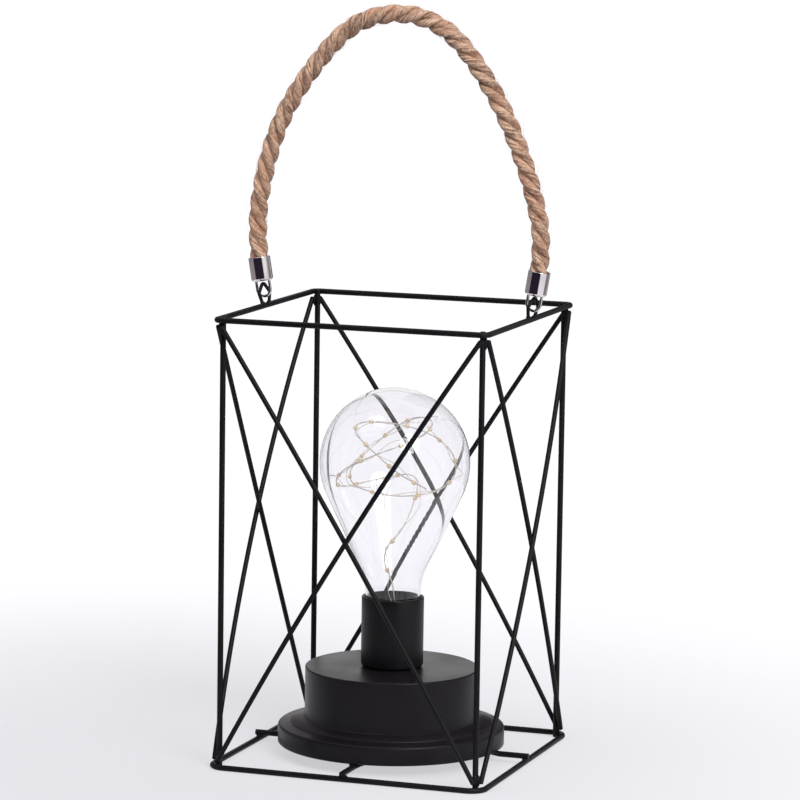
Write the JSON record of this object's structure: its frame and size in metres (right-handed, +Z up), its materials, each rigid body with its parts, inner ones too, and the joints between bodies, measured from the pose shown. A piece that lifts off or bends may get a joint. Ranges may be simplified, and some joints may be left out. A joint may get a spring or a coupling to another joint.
{
  "type": "lantern table lamp",
  "caption": "Square black wire lantern with crossed braces, a round battery base, a clear pear bulb with a fine light string and a swinging rope handle.",
  "frame": {"origin": "centre of the square that the cage stands on, at the level of the surface it rests on", "axes": "+Z up along the lamp's middle line; +X towards the right handle eye, so the handle swings about X; -Y is the front face"},
  "size_m": [0.1552, 0.1464, 0.3674],
  "materials": {
    "cage_paint": "matte black paint with a faint sheen",
    "screw_steel": "zinc plated",
    "cell_jacket": "printed jacket, left plain",
    "contact_sheet": "nickel plated",
    "lead_insulation": "smooth",
    "nipple_steel": "zinc plated",
    "ferrule_plating": "polished",
    "loop_steel": "polished",
    "base_plastic": "matte, very fine grain",
    "cover_plastic": "matte",
    "tray_plastic": "matte",
    "board": "solder mask",
    "chip_plastic": "moulded",
    "switch_steel": "plain sheet",
    "slider_plastic": "moulded",
    "socket_plastic": "satin",
    "bulb_glass": "clear and smooth",
    "plug_plastic": "moulded",
    "string_wire": "fine lacquered wire",
    "bead_resin": "warm clear resin",
    "rope_fibre": "twisted plant fibre"
  },
  "bodies": {
    "lamp": {"base_shell": "base_plastic", "battery_cell_left": "cell_jacket", "battery_cell_middle": "cell_jacket", "battery_cell_right": "cell_jacket", "battery_tray": "tray_plastic", "bottom_cover": "cover_plastic", "bottom_ring": "cage_paint", "brace_back_inner": "cage_paint", "brace_back_outer": "cage_paint", "brace_front_inner": "cage_paint", "brace_front_outer": "cage_paint", "brace_left_inner": "cage_paint", "brace_left_outer": "cage_paint", "brace_right_inner": "cage_paint", "brace_right_outer": "cage_paint", "circuit_board": "board", "contact_leaf_left": "contact_sheet", "contact_leaf_middle": "contact_sheet", "contact_leaf_right": "contact_sheet", "contact_plate_left": "contact_sheet", "contact_plate_middle": "contact_sheet", "contact_plate_right": "contact_sheet", "driver_chip": "chip_plastic", "eye_left": "cage_paint", "eye_right": "cage_paint", "glass_bulb": "bulb_glass", "lead_wire_left": "lead_insulation", "lead_wire_right": "lead_insulation", "light_beads": "bead_resin", "light_string": "string_wire", "neck_plug": "plug_plastic", "nipple_nut_lower": "nipple_steel", "nipple_nut_upper": "nipple_steel", "post_back_left": "cage_paint", "post_back_right": "cage_paint", "post_front_left": "cage_paint", "post_front_right": "cage_paint", "socket_cup": "socket_plastic", "socket_nipple": "nipple_steel", "spoke_back": "cage_paint", "spoke_front": "cage_paint", "spoke_left": "cage_paint", "spoke_right": "cage_paint", "spoke_screw_back": "screw_steel", "spoke_screw_front": "screw_steel", "spoke_screw_left": "screw_steel", "spoke_screw_right": "screw_steel", "switch_housing": "switch_steel", "top_ring": "cage_paint"},
    "handle": {"rope_handle": "rope_fibre", "ferrule_left": "ferrule_plating", "ferrule_right": "ferrule_plating", "ferrule_loop_left": "loop_steel", "ferrule_loop_right": "loop_steel"},
    "battery_door": {"battery_door": "cover_plastic"},
    "switch_slider": {"switch_slider": "slider_plastic"}
  },
  "joints": [
    {"name": "handle_swing", "type": "hinge", "parent": "lamp", "child": "handle", "pos_m": [0, 0, 0.22274], "axis": [1, 0, 0], "range_deg": [-70, 70]},
    {"name": "battery_door_hinge", "type": "hinge", "parent": "lamp", "child": "battery_door", "pos_m": [-0.0204, 0, 0.0067], "axis": [0, 1, 0], "range_deg": [0, 95]},
    {"name": "switch_slide", "type": "slide", "parent": "lamp", "child": "switch_slider", "axis": [0, 1, 0], "range_m": [0, 0.004]}
  ]
}
